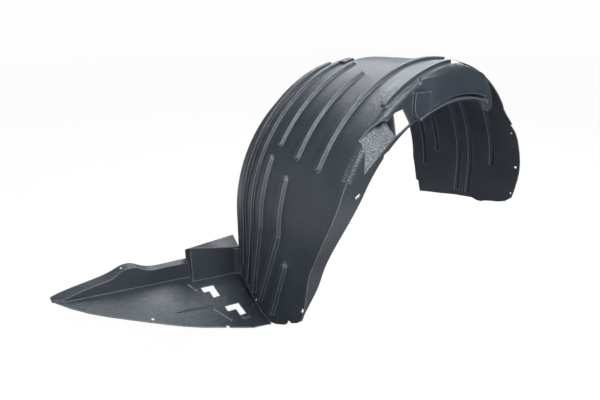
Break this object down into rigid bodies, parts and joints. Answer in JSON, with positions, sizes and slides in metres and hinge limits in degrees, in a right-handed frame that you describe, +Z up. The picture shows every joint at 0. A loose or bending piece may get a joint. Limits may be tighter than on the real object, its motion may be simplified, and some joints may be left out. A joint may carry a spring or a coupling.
{
  "type": "wheel arch liner",
  "caption": "Moulded front wheel arch liner: ribbed tread shell over the tyre with a side wall, access pocket and flat splash shield ahead.",
  "frame": {"origin": "centre of the crown tab's hole at its outboard face", "axes": "+X to the car's rear, +Y inboard, +Z up"},
  "size_m": [1.299, 0.48, 0.6941],
  "materials": {
    "plastic": "fine grain, semi-gloss"
  },
  "bodies": {
    "root": {"arch_liner": "plastic"}
  },
  "joints": []
}
